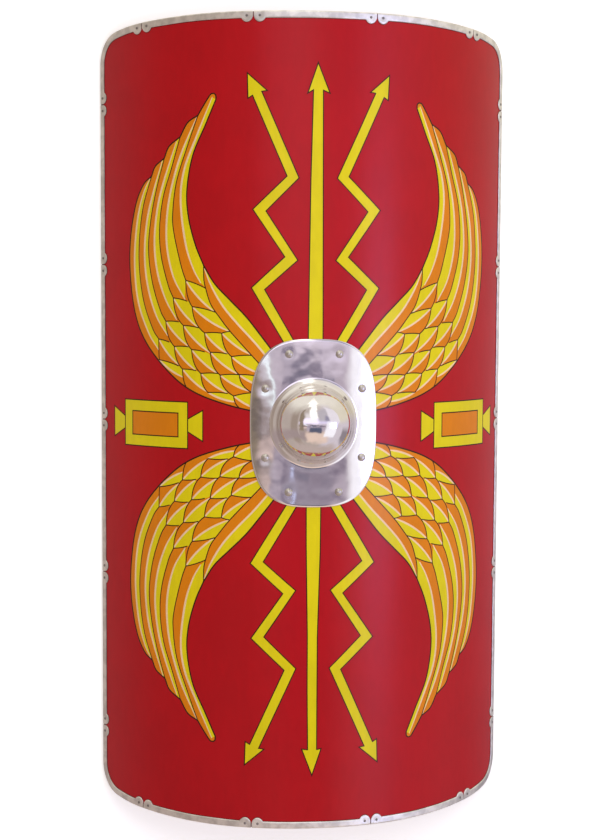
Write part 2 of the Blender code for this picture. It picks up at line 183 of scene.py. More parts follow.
def circle(u, v, radius, sides):
    return [(u + radius * cos(2 * pi * k / sides), v + radius * sin(2 * pi * k / sides))
            for k in range(sides)]


def quarterTurns(steps):
    return [pi / 2 * k / steps for k in range(steps + 1)]


def spline(points, step=4.0):
    # A smooth line through all the points
    ends = [Vector(point) for point in points]
    ends = [2 * ends[0] - ends[1], *ends, 2 * ends[-1] - ends[-2]]
    line = []
    for a, b, c, d in zip(ends, ends[1:], ends[2:], ends[3:]):
        pieces = max(2, ceil((c - b).length / step))
        for k in range(pieces):
            t = k / pieces
            line.append(0.5 * (2 * b + (c - a) * t + (2 * a - 5 * b + 4 * c - d) * t ** 2
                               + (3 * b - a - 3 * c + d) * t ** 3))
    return line + [ends[-2]]


def bowed(start, end, bulge, steps=8):
    # A line from start to end that bows to its left by bulge times its length
    start, end = Vector(start), Vector(end)
    side = Vector((start.y - end.y, end.x - start.x)) * bulge
    return [start.lerp(end, k / steps) + side * 4 * k / steps * (1 - k / steps)
            for k in range(steps + 1)]


def joined(*lines, apart=0.05):
    # One line through them all, less the points that fall together
    whole = []
    for line in lines:
        for point in line:
            point = Vector(point)
            if not whole or (point - whole[-1]).length > apart:
                whole.append(point)
    return whole


def sidesOf(line):
    # The sideways direction at each point of a line
    found = []
    for k in range(len(line)):
        along = line[min(k + 1, len(line) - 1)] - line[max(k - 1, 0)]
        found.append(Vector((-along.y, along.x)).normalized())
    return found


def newMesh(name, verts, faces, finishes=()):
    made = bpy.data.meshes.new(name)
    made.from_pydata(verts, [], faces)
    for finish in finishes:
        made.materials.append(finish)
    made.polygons.foreach_set("use_smooth", [True] * len(faces))
    return made


def newObject(name, data):
    made = bpy.data.objects.new(name, data)
    bpy.context.scene.collection.objects.link(made)
    return made


def addPiece(name, mesh, slot, *replaced):
    piece = newObject(name, mesh)
    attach(piece, "root")
    if replaced:
        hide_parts(*replaced)
    return piece


class Draft:
    # A closed body under construction
    def __init__(self):
        self.verts = []
        self.faces = []

    def bridge(self, near, far):
        # Joins two rings, either of which may be a single point
        for k in range(max(len(near), len(far))):
            corners = [near[k % len(near)], far[k % len(far)],
                       far[(k + 1) % len(far)], near[(k + 1) % len(near)]]
            self.faces.append(list(dict.fromkeys(corners)))

    def loft(self, rings, capped):
        made = []
        for places in rings:
            made.append(list(range(len(self.verts), len(self.verts) + len(places))))
            self.verts += places
        for near, far in zip(made, made[1:]):
            self.bridge(near, far)
        if capped:
            self.faces += [made[0], made[-1][::-1]]

    def turned(self, profile, sides, put):
        # Spins (radius, height) stations, from the outer end's middle to the inner end's
        rings = []
        for radius, height in profile:
            around = circle(0, 0, radius, sides) if radius else [(0, 0)]
            rings.append([put(a, b, height) for a, b in around])
        self.loft(rings, False)

    def mesh(self, name, finishes=(), creaseAngle=40):
        made = newMesh(name, self.verts, self.faces, finishes)
        solid = bmesh.new()
        solid.from_mesh(made)
        bmesh.ops.recalc_face_normals(solid, faces=solid.faces)
        solid.to_mesh(made)
        solid.free()
        made.set_sharp_from_angle(angle=radians(creaseAngle))
        return made

    def piece(self, name, finish, slot, *replaced, creaseAngle=40):
        return addPiece(name, self.mesh(name, [finish], creaseAngle), slot, *replaced)


# The outline that the binding follows, walked clockwise from the middle of the top edge

def quarterBends():
    # From the straight middle of an end to a long edge, the corner last. Each is
    # (run at its start, u, v, angle turned by then, radius, angle it turns).
    sweeps = [(radius, radians(sweep)) for radius, sweep in shield["endBends"]]
    sweeps.append((None, pi / 2 - sum(sweep for radius, sweep in sweeps)))
    found = []
    run, u, v, turned = shield["endFlat"], shield["endFlat"], halfLength, 0.0
    for radius, sweep in sweeps:
        radius = radius or (halfArc - u) / (1 - sin(turned))
        found.append((run, u, v, turned, radius, sweep))
        run += radius * sweep
        u += radius * (sin(turned + sweep) - sin(turned))
        v -= radius * (cos(turned) - cos(turned + sweep))
        turned += sweep
    return found, run, v


bends, cornerEnd, cornerEndV = quarterBends()
lap = 4 * (cornerEnd + cornerEndV)


def outlineAt(run):
    # The flat place after a run along the outline, and the direction inwards
    run %= lap
    half = lap / 2
    mirrored = run > half
    run = min(run, lap - run)
    lower = run > half / 2
    run = min(run, half - run)
    if run <= shield["endFlat"]:
        place, inward = Vector((run, halfLength)), Vector((0, -1))
    elif run >= cornerEnd:
        place, inward = Vector((halfArc, lap / 4 - run)), Vector((-1, 0))
    else:
        start, u, v, turned, radius, sweep = [bend for bend in bends if bend[0] <= run][-1]
        turn = turned + (run - start) / radius
        place = Vector((u + radius * (sin(turn) - sin(turned)), v - radius * (cos(turned) - cos(turn))))
        inward = Vector((-sin(turn), -cos(turn)))
    flip = Vector((-1 if mirrored else 1, -1 if lower else 1))
    return place * flip, inward * flip


def insideOutline(run, distance):
    place, inward = outlineAt(run)
    return place + inward * distance


binding = {
    "sheet": 0.001,
    "leg": 0.009,             # how far the folded sheet reaches in
    "lobeRadius": 0.0078,     # the rounded ends that the nails go through
    "lobeReach": 0.0138,
    "lobeSteps": 14,
    "slit": 0.0012,
    "foldRadius": 0.0016, "foldSteps": 4,
    # The cut edge, rounded: how far out, and how much of the sheet up from the board
    "lip": ((0, 0), (0.0001, 0.35), (-0.00025, 0.8), (-0.0007, 1)),
    "legShares": (0.8, 0.6, 0.4, 0.2),     # points across the leg, from the lip to the fold
    "endJoints": (0.080, 0.241),
    "sideJoints": (0.209, 0.422),
    "straightStep": 0.006, "cornerStep": 0.004,
    "stopShort": 0.003, "lastStep": 0.002,
    "wander": 0.0004,         # hand-cut edges run this much in and out
    "wanderPitch": 27, "wanderCalm": 0.02,
    "dent": 0.00012, "dentSize": 0.006,
    "nailDent": 0.0003, "nailDentRadius": 0.0035,
    "creaseAngle": 50,
    "clockwise": (
        "top_3", "corner_top_right", "right_1", "right_2", "right_3", "right_4",
        "corner_bottom_right", "bottom_3", "bottom_2", "bottom_1", "corner_bottom_left",
        "left_4", "left_3", "left_2", "left_1", "corner_top_left", "top_1", "top_2"),
}
lobeMiddle = binding["lobeReach"] - binding["lobeRadius"]


def jointRuns():
    inner, outer = binding["endJoints"]
    near, far = binding["sideJoints"]
    runs = [inner, outer]
    runs += [lap / 4 + run for run in (-far, -near, 0, near, far)]
    runs += [lap / 2 - outer, lap / 2 - inner]
    return runs + [lap - run for run in reversed(runs)] + [lap + inner]


def lobeStations():
    # (distance from the piece's end, reach) round a lobe to where it meets the plain leg
    radius, steps = binding["lobeRadius"], binding["lobeSteps"]
    meeting = pi - asin((binding["leg"] - lobeMiddle) / radius)
    turns = [meeting * k / steps for k in range(steps + 1)]
    return [(radius * (1 - cos(turn)), lobeMiddle + radius * sin(turn)) for turn in turns]


def bindingStations(start, end):
    # Every (run, reach) that a piece's section is drawn at
    lobe = lobeStations()
    stations = [(start + distance, reach) for distance, reach in lobe]
    run, last = stations[-1][0], end - lobe[-1][0]
    while run < last - binding["stopShort"]:
        fromEnd = min(run % (lap / 2), lap / 2 - run % (lap / 2))
        atCorner = bends[-1][0] < fromEnd < cornerEnd
        run += binding["cornerStep" if atCorner else "straightStep"]
        if run < last - binding["lastStep"]:
            stations.append((run, binding["leg"]))
    return stations + [(end - distance, reach) for distance, reach in reversed(lobe)]


def bindingEnds():
    # Where each piece starts and ends, clockwise
    half = binding["slit"] / 2
    return [(start + half, end - half) for start, end in zip(joints, joints[1:])]


joints = jointRuns()
lobeEdge = []                 # the binding's inner border all the way round
for startRun, endRun in bindingEnds():
    lobeEdge += bindingStations(startRun, endRun)


# The painted front. Each coat is laid over the ones before it, as with a brush.

paint = {
    "thickness": 0.0004,
    "threadPitch": 0.0014,    # of the canvas under the paint
    "relief": 0.00005, "reliefStrength": 0.5,
    "gloss": 0.24, "roughness": 0.26,
    "brushSize": 0.008, "brushStretch": 0.3, "brushShare": 0.4,
    "blotchSize": 0.09,
    "shadeRange": (0.36, 0.64),
    "deep": 0.97, "light": 1.015,          # the colour's lowest and highest tone
    "stretch": 0.027,
    "stretchHalfLength": 0.430,
    "red": (163, 6, 17),
    "yellow": (206, 191, 8),
    "orange": (203, 118, 3),
    "cream": (222, 190, 148),
    "line": (48, 20, 6),
    # dark red coat, left showing as a painted shadow line beside the binding
    "shade": (92, 16, 16),
    "lineWidth": 1.4,         # these are in millimetres
    "edgeLineWidth": 1.9,
    "ridgeWidth": 2.4,
    "boltLineWidth": 1.5,
    "borderShade": 0.8,       # width of the painted shadow line beside the binding
    "frontOfMap": 0.96, "backOfMap": 0.03, # how much of the flat map's height each side takes
}
coats = []


def spread(point):
    # The drawing was stretched a little around the middle of the board
    u, v = point[0] * mm, point[1] * mm
    middle = paint["stretch"] * max(0, 1 - (v / paint["stretchHalfLength"]) ** 2)
    alongMiddle = paint["stretch"] * (1 - (v / halfLength) ** 2)
    return (u * (1 + middle), v * (1 + alongMiddle))


def layCoat(colour, outline, put=tuple):
    coats.append((colour, [spread(put(point)) for point in outline]))


def layStroke(colour, line, width, put, ends=(1.0, 1.0)):
    # A brush stroke along a line: full width in its middle half, ends times that at its ends
    line = joined(line)
    last = len(line) - 1
    halves = []
    for k in range(len(line)):
        near, far = min(1, 4 * k / last), min(1, 4 * (last - k) / last)
        halves.append(width / 2 * (ends[0] + (1 - ends[0]) * near) * (ends[1] + (1 - ends[1]) * far))
    first, final = (line[1] - line[0]).normalized(), (line[-1] - line[-2]).normalized()
    sides = [side * half for side, half in zip(sidesOf(line), halves)]
    left = [point + side for point, side in zip(line, sides)]
    right = [point - side for point, side in zip(line, sides)]
    shape = [line[0] - first * halves[0], *left, line[-1] + final * halves[-1], *reversed(right)]
    layCoat(colour, shape, put)


def grown(outline, distance, bluntest=0.3):
    # The outline moved outwards, its corners kept sharp
    points = [Vector(point) for point in outline]
    if signedArea(points) < 0:
        points.reverse()
    moved = []
    for before, here, after in zip(points[-1:] + points, points, points[1:] + points[:1]):
        one, two = (here - before).normalized(), (after - here).normalized()
        out = Vector((one.y + two.y, -one.x - two.x)).normalized()
        moved.append(here + out * distance / max(bluntest, out.dot(Vector((one.y, -one.x)))))
    return moved


def signedArea(points):
    return sum(a[0] * b[1] - b[0] * a[1] for a, b in zip(points, points[1:] + points[:1])) / 2


drawingRise = 400             # millimetres up the board at which lean and shorten are in full


def quarterPlace(side, way, lean, shorten):
    # Moves a point of the one quarter drawn to any of the four
    def put(point):
        rise = point[1] / drawingRise
        return (side * (point[0] + lean * rise), way * (point[1] - shorten * rise * rise))
    return put


# One wing, in millimetres: out from the middle line and up from the boss
wing = {
    "outerEdge": [(222, 318), (235, 308), (248, 283), (257, 240), (257.5, 195), (248, 142),
                  (228, 103), (190, 64.5), (155, 42), (110, 27), (68, 18)],
    "innerEdge": [(129, 415), (143, 382), (160, 343), (167.5, 300), (165, 265), (155, 230),
                  (143, 203)],
    "tips": [
        [(222, 318), (216, 331), (202, 341)],
        [(202, 341), (195, 356), (178.5, 368)],
        [(178.5, 368), (168, 386), (153.5, 395)],
        [(153.5, 395), (145, 409), (135.5, 422.5), (129.5, 421), (129, 415)]],
    "edges": [
        [(222, 318), (235, 280), (241, 240), (241, 200), (233, 157), (218, 122), (208, 108.5)],
        [(202, 341), (214, 300), (222.5, 260), (225.5, 222), (219, 182), (206, 146), (197, 131.5)],
        [(178.5, 368), (190, 330), (203, 290), (208, 250), (205, 215), (194, 178), (186, 161.5)],
        [(153.5, 395), (168, 355), (183, 310), (188, 270), (186, 245), (175, 203), (168, 184)]],
    "ridges": [
        [(208, 94.5), (225, 117), (243, 158), (249.5, 210), (245, 262), (235, 297), (224, 316)],
        [(194, 113), (212, 138), (226, 175), (232, 215), (229, 258), (219, 297), (205, 338)],
        [(181, 134), (198, 160), (211, 195), (216, 233), (212, 275), (202, 312), (184, 362)],
        [(169, 160), (186, 188), (196, 225), (197, 262), (191, 300), (177, 345), (155, 393)],
        [(147, 181), (158, 200), (169, 232), (176.5, 285), (172, 325), (155, 368), (134, 418)]],
    "armLow": [(143, 203), (142.5, 185), (140, 174), (133, 154), (120, 136), (107, 120),
               (88, 99.5), (66, 76)],
    "armTop": [(143, 203), (128, 180), (108, 160), (86, 138), (66, 113), (50, 92)],
    "armRidge": [(142, 199), (133, 178), (117, 152), (98, 130), (76, 107), (58, 86)],
    "underBoss": [(50, 60)],
    # Rows of scales, outermost first: corner, far end of its top edge, tip of its ridge
    "scales": [
        [((208, 108.5), (192, 105), (178, 76.5)),
         ((207, 82), (178, 75), (172, 61))],
        [((197, 131.5), (178, 131), (164, 100.5)),
         ((184, 99.5), (164, 99.5), (154, 70.5)),
         ((172, 71), (153, 69.5), (137, 43)),
         ((167, 49), None, None)],
        [((186, 161.5), (166, 157.5), (151, 125)),
         ((171, 126.5), (150, 124), (134, 93)),
         ((159, 96), (141, 93.5), (123, 66.5)),
         ((146, 66), (122, 66.5), (111, 42.5)),
         ((136, 42), (110, 41.5), (100, 31))],
        [((168, 184), (140, 174), (128, 144.5)),
         ((158.5, 150.5), (127, 144), (108, 120)),
         ((141, 117.5), (118, 117.5), (111, 92)),
         ((133, 93), (111, 91.5), (96, 66)),
         ((120, 64.5), (95, 65.5), (82, 45)),
         ((102, 38.5), (78, 43), (70, 22)),
         ((95, 24), None, None)],
        [((118, 117.5), (107, 120), (80, 91)),
         ((105, 88), (79, 90), (68, 67)),
         ((95, 65.5), (72, 64), (68, 52)),
         ((78, 43), None, None)]],
    "cover": 11,              # how far a row's ground covers the row outside it
    "innerRoot": [(142.5, 185), (141, 176)],
    "scallopKnee": (0.08, 0.68),
    "topEdgeBow": -0.03, "ridgeBow": 0.05,
    "tuck": ((6, 2), (4, -3)),             # yellow runs this far under the next scale
    "featherTaper": (0.5, 0.35), "scaleTaper": (0.7, 0.5), "armTaper": (0.4, 1.0),
    "featherRidge": 1.15,     # of the usual ridge width
    # Each quarter: side, way, lean, shorten
    "quarters": ((-1, 1, 0, 0), (1, 1, 10, 7), (-1, -1, 0, 8.6), (1, -1, 3, 8.6)),
}


def scallop(start, end, steps=8):
    # Leaves start straight down and swings in to end
    start, end = Vector(start), Vector(end)
    knee = start + (end - start) * Vector(wing["scallopKnee"])
    return [start.lerp(knee, k / steps).lerp(knee.lerp(end, k / steps), k / steps)
            for k in range(steps + 1)]


def layWing(put):
    outer, inner, armTop, armLow, armRidge = (
        spline(wing[name]) for name in ("outerEdge", "innerEdge", "armTop", "armLow", "armRidge"))
    tips, edges, ridges = (
        [spline(points) for points in wing[name]] for name in ("tips", "edges", "ridges"))
    fingers = [tip[::-1] for tip in tips[::-1]]
    body = joined(outer, wing["underBoss"], armTop[::-1], inner[::-1], *fingers)
    layCoat("orange", body[:-1], put)

    # Long feathers: yellow between each ridge and the edge nearer the middle
    for ridge, edge in zip(ridges, edges + [joined(inner, wing["innerRoot"])]):
        layCoat("yellow", joined(ridge, edge), put)
    for ridge in ridges:
        layStroke("cream", ridge, paint["ridgeWidth"] * wing["featherRidge"], put, wing["featherTaper"])

    # Scales, a row at a time
    for row in wing["scales"]:
        chain = joined(*[scallop(a[0], b[0]) for a, b in zip(row, row[1:])])
        cover = [point - Vector((wing["cover"], 0)) for point in chain]
        layCoat("orange", chain + cover[::-1], put)
        for corner, topEnd, tip in row:
            if tip is None:
                continue
            topEdge = bowed(corner, topEnd, wing["topEdgeBow"])
            ridge = bowed(corner, tip, wing["ridgeBow"])
            under = [Vector(end) - Vector(tuck) for end, tuck in zip((topEnd, tip), wing["tuck"])]
            layCoat("yellow", joined(topEdge, under, ridge[::-1])[:-1], put)
            layStroke("cream", ridge, paint["ridgeWidth"], put, wing["scaleTaper"])
            layStroke("line", topEdge, paint["lineWidth"], put)
        for a, b in zip(row, row[1:]):
            layStroke("line", scallop(a[0], b[0]), paint["lineWidth"], put)
    for edge in edges:
        layStroke("line", edge, paint["lineWidth"], put)

    # The leading arm lies over the rest
    layCoat("orange", joined(armLow, armTop[::-1])[:-1], put)
    layCoat("yellow", joined(armRidge, armTop[::-1]), put)
    layStroke("cream", armRidge, paint["ridgeWidth"], put, wing["armTaper"])
    layStroke("line", armLow, paint["lineWidth"], put)
    for line in [outer, inner, armTop, *tips]:
        layStroke("line", line, paint["edgeLineWidth"], put)


bolt = {
    "towardsMiddle": [(10, 80), (64, 173), (22.5, 210), (63, 272), (21.5, 314)],
    "awayFromMiddle": [(22, 80), (79, 175), (37, 214), (78, 274), (35, 316)],
    "head": [(70, 425), (63.5, 426), (87, 447), (86, 417), (80.5, 420.5)],
    "quarters": ((-1, 1, 0, 0), (1, 1, 9.5, 0), (-1, -1, 1.5, 5), (1, -1, 1, 5)),
    "upArrow": [(-7.5, 80), (-7, 130), (-5, 310), (-2.3, 428), (-9, 424), (3, 460), (17, 424),
                (9, 427.5), (9.3, 310), (10, 130), (10, 80)],
    "downArrow": [(-8.8, -70), (-8.5, -150), (-6.5, -270), (-6.5, -340), (-5.5, -421),
                  (-13, -420), (-0.5, -453.5), (10.5, -420), (5, -421), (5, -340), (5, -270),
                  (8, -160), (8.8, -70)],
}


def layOutlined(outline, colour="yellow"):
    layCoat("line", grown(outline, paint["boltLineWidth"]))
    layCoat(colour, outline)


def layBolt(put):
    outline = bolt["towardsMiddle"] + bolt["head"] + bolt["awayFromMiddle"][::-1]
    layOutlined([put(point) for point in outline])


tablet = {
    "halfWidth": 50, "halfHeight": 29,
    "panelHalfWidth": 36, "panelHalfHeight": 14.5,
    "earLength": 20, "earHalfHeight": 18.5, "neckHalfHeight": 7.5,
    "earGap": 1.3,
    "places": [(-215.3, -0.6), (219.4, -1.8)],
}


def box(u, v, halfWidth, halfHeight):
    return [(u - halfWidth, v - halfHeight), (u + halfWidth, v - halfHeight),
            (u + halfWidth, v + halfHeight), (u - halfWidth, v + halfHeight)]


def layTablet(u, v):
    for side in (-1, 1):
        neck = u + side * (tablet["halfWidth"] + tablet["earGap"])
        end = neck + side * tablet["earLength"]
        layOutlined([(neck, v - tablet["neckHalfHeight"]), (end, v - tablet["earHalfHeight"]),
                     (end, v + tablet["earHalfHeight"]), (neck, v + tablet["neckHalfHeight"])])
    layOutlined(box(u, v, tablet["halfWidth"], tablet["halfHeight"]))
    layOutlined(box(u, v, tablet["panelHalfWidth"], tablet["panelHalfHeight"]), "orange")


def boardOutline():
    # Anticlockwise, a little inside the binding's folds
    quarter = [cornerEnd]
    for (start, u, v, turned, radius, sweep), count in zip(bends, shield["bendSteps"]):
        quarter += [start + radius * sweep * k / count for k in range(count)]
    right = sorted(quarter + [lap / 2 - run for run in quarter])
    return [insideOutline(run, shield["edgeInset"]) for run in right[::-1] + [-run for run in right]]


def flatSheet(layers):
    # Cuts overlapping layers into triangles that each show the last layer laid there
    points, rings, edges = [], [], []
    for colour, outline in layers:
        ring = outline if signedArea(outline) > 0 else outline[::-1]
        rings.append(list(range(len(points), len(points) + len(ring))))
        points += [Vector(point) for point in ring]
    width = frontRadius * shield["columnTurn"]
    columns = ceil(halfArc / width)
    for column in range(-columns, columns + 1):
        edges.append((len(points), len(points) + 1))
        points += [Vector((column * width, end)) for end in (-halfLength, halfLength)]
    cut = delaunay_2d_cdt(points, edges, rings, 1, 1e-6)
    kept = []
    for triangle, sources in zip(cut[2], cut[5]):
        colour = layers[max(sources)][0] if sources else None
        if colour is not None:
            kept.append((triangle, colour))
    return cut[0], kept


def sheetMesh(name, layers, top, bottom, finishes, backFinish, rimFinish):
    # Bends a flat cut sheet onto the board and gives it thickness
    places, triangles = flatSheet(layers)
    used = sorted({corner for triangle, colour in triangles for corner in triangle})
    at = {corner: k for k, corner in enumerate(used)}
    count = len(used)
    names = list(finishes)
    verts = [wrap(*places[corner], top) for corner in used]
    verts += [wrap(*places[corner], bottom) for corner in used]
    faces = [[at[corner] for corner in triangle] for triangle, colour in triangles]
    slots = [names.index(colour) for triangle, colour in triangles]
    frontCount = len(faces)
    sides = {(face[k - 1], face[k]) for face in faces for k in range(3)}
    faces += [[corner + count for corner in reversed(face)] for face in faces]
    slots += [names.index(backFinish)] * frontCount
    for a, b in sides:
        if (b, a) not in sides:
            faces.append([b, a, a + count, b + count])
            slots.append(names.index(rimFinish))
    made = newMesh(name, verts, faces, finishes.values())
    made.polygons.foreach_set("material_index", slots)
    # True cylinder normals, so long thin triangles don't show in the gloss
    normals = []
    flats = made.uv_layers.new(name="OFBake")
    for polygon in made.polygons:
        for loop in polygon.loop_indices:
            corner = made.loops[loop].vertex_index
            u, v = places[used[corner % count]]
            across, along = 0.5 + u / (2 * halfArc), 0.5 + v / (2 * halfLength)
            if polygon.index < frontCount:
                normals.append(outwards(verts[corner]))
                flats.data[loop].uv = (across, 1 - paint["frontOfMap"] * (1 - along))
            else:
                backwards = polygon.index < 2 * frontCount
                normals.append(-outwards(verts[corner]) if backwards else polygon.normal)
                flats.data[loop].uv = (across, paint["backOfMap"] * along)
    made.normals_split_custom_set(normals)
    return made


def paintFinish(name):
    colour = paint[name]

    def build(tree):
        flat = tree.place(2).stretch(2 * halfArc, 2 * halfLength / paint["frontOfMap"], 0)
        threads = [(flat.axis(way) * (2 * pi / paint["threadPitch"])).maths("SINE") for way in "XY"]
        brush = tree.cloud(flat.stretch(1, paint["brushStretch"], 1), paint["brushSize"])
        blotch = tree.cloud(flat, paint["blotchSize"])
        tone = brush * paint["brushShare"] + blotch * (1 - paint["brushShare"])
        deep, light = ([min(255, value * paint[end]) for value in colour] for end in ("deep", "light"))
        shade = tree.mix(tone.step(*paint["shadeRange"]), screenColour(*deep), screenColour(*light))
        weave = (threads[0] + threads[1]) * 0.25 + 0.5
        relief = tree.bump(weave, paint["relief"], paint["reliefStrength"])
        return {"Base Color": shade, "Roughness": paint["roughness"], "Normal": relief,
                "Specular IOR Level": paint["gloss"]}
    return newFinish(name + " paint", build)


def holeLayers():
    # What is cut through the board: the rivet holes and the hand hole
    holes = [circle(u, v, rivet["holeRadius"], rivet["holeSides"]) for u, v in rivetPlaces()]
    holes.append(circle(0, middleV, shield["handHole"], shield["handHoleSides"]))
    return [(None, hole) for hole in holes]


def layWholeFront():
    # Painted shadow: the whole board is first coated dark, and the red stops short of the binding so a
    # dark line shows beside it
    coats.append(("shade", boardOutline()))
    border = paint["borderShade"] * mm
    coats.append(("red", [insideOutline(run, reach + border) for run, reach in lobeEdge]))
    for quarter in wing["quarters"]:
        layWing(quarterPlace(*quarter))
    for quarter in bolt["quarters"]:
        layBolt(quarterPlace(*quarter))
    layOutlined(bolt["upArrow"])
    layOutlined(bolt["downArrow"])
    for u, v in tablet["places"]:
        layTablet(u, v)
    coats.extend(holeLayers())


# Boss, pressed from sheet: a dome on a flange that follows the board

boss = {
    "halfWidth": 0.083, "halfLength": 0.109, "outlinePower": 3.0,
    "sheet": 0.0015,
    "domeHeight": 0.0407,
    # Down the dome: radius of each bend, the tilt it ends at, steps
    "domeBends": ((0.077, 18.5, 8), (0.0265, 43, 9), (0.055, 60, 8), (0.0193, 75, 6)),
    "flareRadius": 0.0169, "footTilt": 22, "flareSteps": 20,
    "grooveRadius": 0.0532, "grooveWidth": 0.0006, "grooveDepth": 0.0003,
    "sides": 192, "flangeSteps": 20,
    "edgeRound": 0.0005,
    "waver": 0.00018,         # hammering leaves the flange this far from true
    "waverPitch": 22, "ripple": 0.3, "ripplePitch": 60,
    "waverStart": 6,          # it grows in full over a sixth of the flange
    "dimple": 0.00014,        # and each rivet draws it down
    "dimpleRadius": 0.008,
}
flangeTop = gap + boss["sheet"]
levelZ = axisZ + frontRadius + flangeTop

rivet = {
    "places": ((0.0326, 0.0894), (0.063, 0.0448)),   # in each quarter, from the boss middle
    "headRadius": 0.0052, "headHeight": 0.0032, "headSteps": 8,
    "shankRadius": 0.0025, "holeRadius": 0.0029, "holeSides": 16,
    "tailRadius": 0.0042, "tailHeight": 0.0014,
    "tail": ((0.97, 0), (1, 0.3), (0.9, 0.75), (0.7, 1), (0, 1)),    # of that radius and height
    "sides": 32,
}


def rivetPlaces():
    return [(signU * u, middleV + signV * v)
            for signV in (1, -1) for signU in (-1, 1) for u, v in rivet["places"]]


def arcTilts(start, end, steps):
    return [start + (end - start) * k / steps for k in range(1, steps + 1)]


def domeStations():
    # (radius, height, tilt) down the outside of the dome to its foot
    stations = []
    radius, height, start = 0, boss["domeHeight"], 0
    for bend, endTilt, steps in boss["domeBends"]:
        for tilt in arcTilts(start, radians(endTilt), steps):
            stations.append((radius + bend * (sin(tilt) - sin(start)),
                             height - bend * (cos(start) - cos(tilt)), tilt))
        radius, height, start = stations[-1]
    flare, foot = boss["flareRadius"], radians(boss["footTilt"])
    flareTop = flare * (cos(foot) - cos(start))
    radius += (height - flareTop) / tan(start) + flare * sin(start)
    for tilt in [start, *arcTilts(start, foot, boss["flareSteps"])]:
        out = radius - flare * sin(tilt)
        dip = boss["grooveDepth"] * exp(-((out - boss["grooveRadius"]) / boss["grooveWidth"]) ** 2)
        stations.append((out, flare * (cos(foot) - cos(tilt)) - dip, tilt))
    return stations


def bossEdge(turn):
    power = boss["outlinePower"]
    reach = (abs(cos(turn)) ** power + abs(sin(turn)) ** power) ** (-1 / power)
    return Vector((boss["halfWidth"] * reach * cos(turn), boss["halfLength"] * reach * sin(turn)))


def flangeWave(flat):
    spot = Vector((flat.x, flat.y, 0.2))   # the last number only picks a slice of the noise
    ripple = boss["ripple"] * noise.noise(spot * boss["ripplePitch"])
    lift = boss["waver"] * (noise.noise(spot * boss["waverPitch"]) + ripple)
    for u, v in rivetPlaces():
        away = (flat - Vector((u, v - middleV))).length / boss["dimpleRadius"]
        lift -= boss["dimple"] * exp(-away * away)
    return lift


def makeBoss():
    stations = domeStations()
    footRadius = stations[-1][0]
    steepest = max(tilt for radius, height, tilt in stations)
    wallTop = next(height for radius, height, tilt in stations if tilt == steepest)
    turns = [2 * pi * k / boss["sides"] for k in range(boss["sides"])]

    def domeRing(radius, height, tilt, depth):
        places = []
        for turn in turns:
            foot = wrap(footRadius * cos(turn), footRadius * sin(turn), flangeTop)
            shrink = (radius - depth * sin(tilt)) / footRadius
            z = foot.z + (levelZ - foot.z) * min(height / wallTop, 1) + height - depth * cos(tilt)
            places.append(Vector((foot.x * shrink, middleV + foot.y * shrink, z)))
        return places

    def flangeRing(share, depth, inset=0.0):
        places = []
        for turn in turns:
            near = Vector((footRadius * cos(turn), footRadius * sin(turn)))
            far = bossEdge(turn)
            far -= far.normalized() * inset
            flat = near.lerp(far, share)
            lift = min(1, boss["waverStart"] * share) * flangeWave(flat)
            places.append(wrap(flat.x, middleV + flat.y, flangeTop + lift - depth))
        return places

    sheet, edgeRound, steps = boss["sheet"], boss["edgeRound"], boss["flangeSteps"]
    shares = [k / steps for k in range(1, steps + 1)]
    apex = levelZ + boss["domeHeight"]
    rings = [[Vector((0, middleV, apex))]]
    rings += [domeRing(*station, 0) for station in stations]
    rings += [flangeRing(share, 0, edgeRound) for share in shares]
    rings += [flangeRing(1, edgeRound * (1 - cos(turn)), edgeRound * (1 - sin(turn)))
              for turn in quarterTurns(2)[1:]]
    rings += [flangeRing(1, sheet)]
    rings += [flangeRing(share, sheet) for share in reversed(shares[:-1])]
    rings += [domeRing(*station, sheet) for station in reversed(stations)]
    rings += [[Vector((0, middleV, apex - sheet))]]
    draft = Draft()
    draft.loft(rings, False)
    draft.piece("boss_pressed", mirrorSteel, "boss_steel", "boss")


def makeRivets():
    under = flangeTop + gap
    back = -shield["thickness"] - gap
    profile = [(rivet["headRadius"] * sin(turn), under + rivet["headHeight"] * cos(turn))
               for turn in quarterTurns(rivet["headSteps"])]
    profile += [(rivet["shankRadius"], under), (rivet["shankRadius"], back)]
    profile += [(rivet["tailRadius"] * wide, back - rivet["tailHeight"] * deep)
                for wide, deep in rivet["tail"]]
    for count, (u, v) in enumerate(rivetPlaces(), 1):
        draft = Draft()
        draft.turned(profile, rivet["sides"], lambda a, b, h: wrap(u + a, v + b, h))
        name = f"boss_rivet_{count}"
        draft.piece(name + "_domed", rivetSteel, "rivet_steel", name)


# Edge binding, folded over the board in short lengths and nailed through its lobes

nail = {
    "radius": 0.0017, "height": 0.0006, "shank": 0.0008,
    "tailRadius": 0.8, "tailHeight": 0.6,  # of the head's
    "headSteps": 5, "tailSteps": 4, "sides": 16,
}


def channelSection(reach):
    # (depth, w) places round the folded sheet, front leg first
    sheet, fold = binding["sheet"], binding["foldRadius"]
    front, back = gap, -shield["thickness"] - gap
    top, bottom = front + sheet, back - sheet
    lip = [(reach + out, sheet * up) for out, up in binding["lip"]]
    turns = quarterTurns(binding["foldSteps"])
    section = [(depth, front + height) for depth, height in lip]
    section += [(fold + (lip[-1][0] - fold) * share, top) for share in binding["legShares"]]
    section += [(fold * (1 - sin(turn)), top - fold * (1 - cos(turn))) for turn in turns]
    section += [(fold * (1 - cos(turn)), bottom + fold * (1 - sin(turn))) for turn in turns]
    section += [(depth, back - height) for depth, height in reversed(lip)]
    return section + [(sheet, back), (sheet, front)]


def dented(flat, nails):
    # How far the hammered sheet lies below its full height
    depth = binding["dent"] * (0.5 + noise.noise(Vector((*flat, 0)) / binding["dentSize"]))
    for nail in nails:
        depth += binding["nailDent"] * exp(-((flat - nail).length / binding["nailDentRadius"]) ** 2)
    return depth


